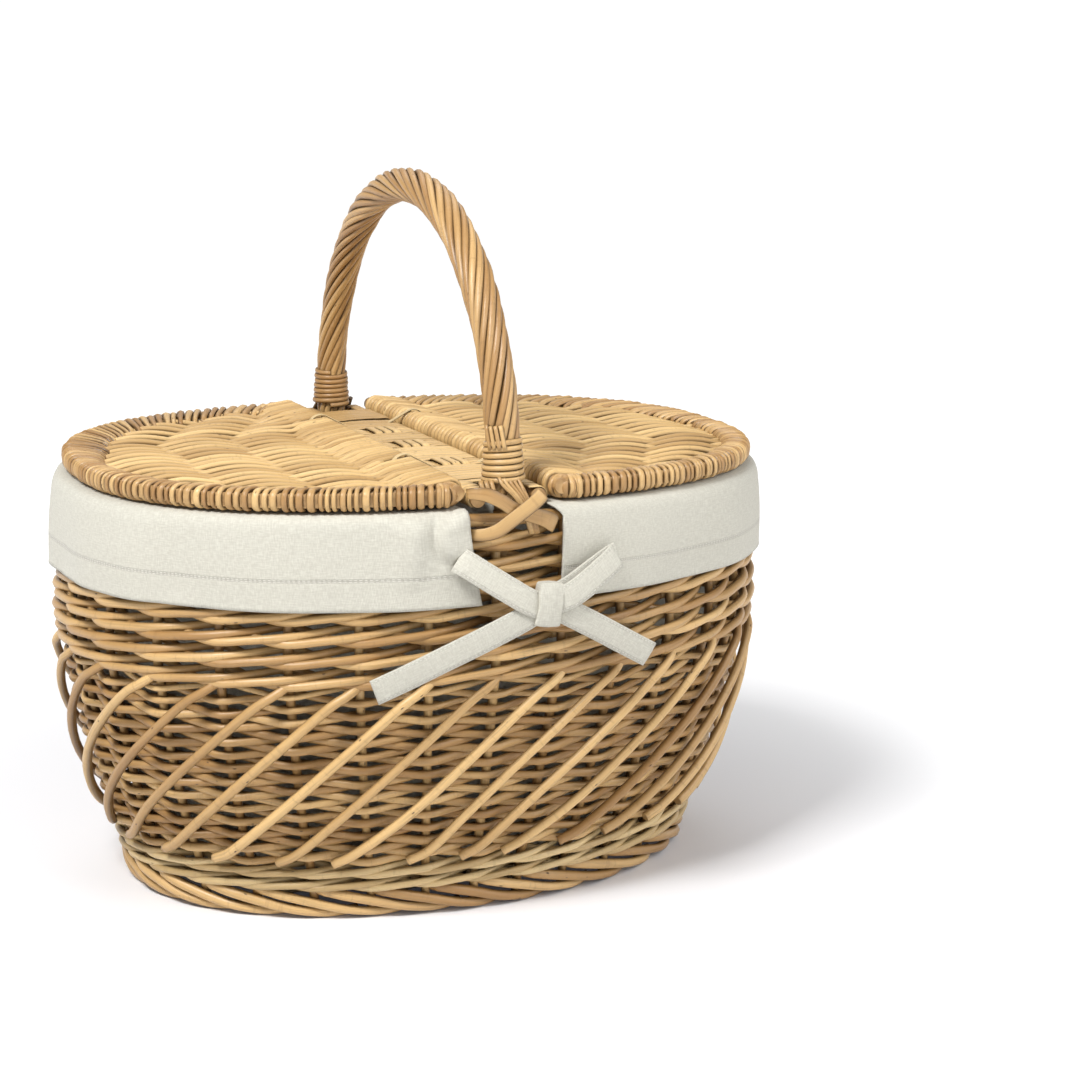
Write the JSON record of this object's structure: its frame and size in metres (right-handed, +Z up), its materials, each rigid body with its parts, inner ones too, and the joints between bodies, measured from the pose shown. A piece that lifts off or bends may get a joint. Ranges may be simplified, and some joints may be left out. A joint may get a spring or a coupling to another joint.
{
  "type": "picnic basket",
  "caption": "Oval willow basket with a fixed roped handle, half lids hinged on a middle bridge, and a cotton liner folded over the rim and tied with bows.",
  "frame": {"origin": "on the ground under the middle of the basket's oval foot", "axes": "+X along the basket's length, +Y away from the side with the first bow, +Z up"},
  "size_m": [0.4628, 0.368, 0.4449],
  "materials": {
    "willow_rods": "buff willow rods, satin lacquer",
    "willow_lids": "pale willow weave, satin lacquer",
    "willow_skein": "split willow skein, satin",
    "cotton_calico": "unbleached plain-weave cotton"
  },
  "bodies": {
    "basket": {"base_weave": "willow_rods", "base_sticks": "willow_rods", "foot_border": "willow_rods", "bottom_wale": "willow_rods", "side_weave": "willow_rods", "upper_wale": "willow_rods", "top_border": "willow_rods", "stakes": "willow_rods", "slanting_rods": "willow_rods", "handle_core": "willow_rods", "handle_rope": "willow_rods", "handle_foot_front": "willow_rods", "handle_foot_rear": "willow_rods", "bridge_side_rods": "willow_rods", "handle_binding_front": "willow_skein", "handle_binding_rear": "willow_skein", "handle_lashing_front": "willow_skein", "handle_lashing_rear": "willow_skein", "bridge_weave": "willow_skein", "left_hinge_loop_front": "willow_skein", "left_hinge_loop_rear": "willow_skein", "right_hinge_loop_front": "willow_skein", "right_hinge_loop_rear": "willow_skein", "liner_bag": "cotton_calico", "cuff_left": "cotton_calico", "cuff_right": "cotton_calico", "bow_front": "cotton_calico", "bow_rear": "cotton_calico"},
    "left_lid": {"left_lid_hoop": "willow_rods", "left_lid_edge_wrap": "willow_skein", "left_lid_hinge_rod": "willow_rods", "left_lid_roll_wrap": "willow_skein", "left_lid_weave": "willow_lids", "left_lid_sticks": "willow_rods"},
    "right_lid": {"right_lid_hoop": "willow_rods", "right_lid_edge_wrap": "willow_skein", "right_lid_hinge_rod": "willow_rods", "right_lid_roll_wrap": "willow_skein", "right_lid_weave": "willow_lids", "right_lid_sticks": "willow_rods"}
  },
  "joints": [
    {"name": "left_lid_hinge", "type": "hinge", "parent": "basket", "child": "left_lid", "pos_m": [-0.033, 0, 0.2705], "axis": [0, 1, 0], "range_deg": [0, 95]},
    {"name": "right_lid_hinge", "type": "hinge", "parent": "basket", "child": "right_lid", "pos_m": [0.033, 0, 0.2705], "axis": [0, -1, 0], "range_deg": [0, 95]}
  ]
}
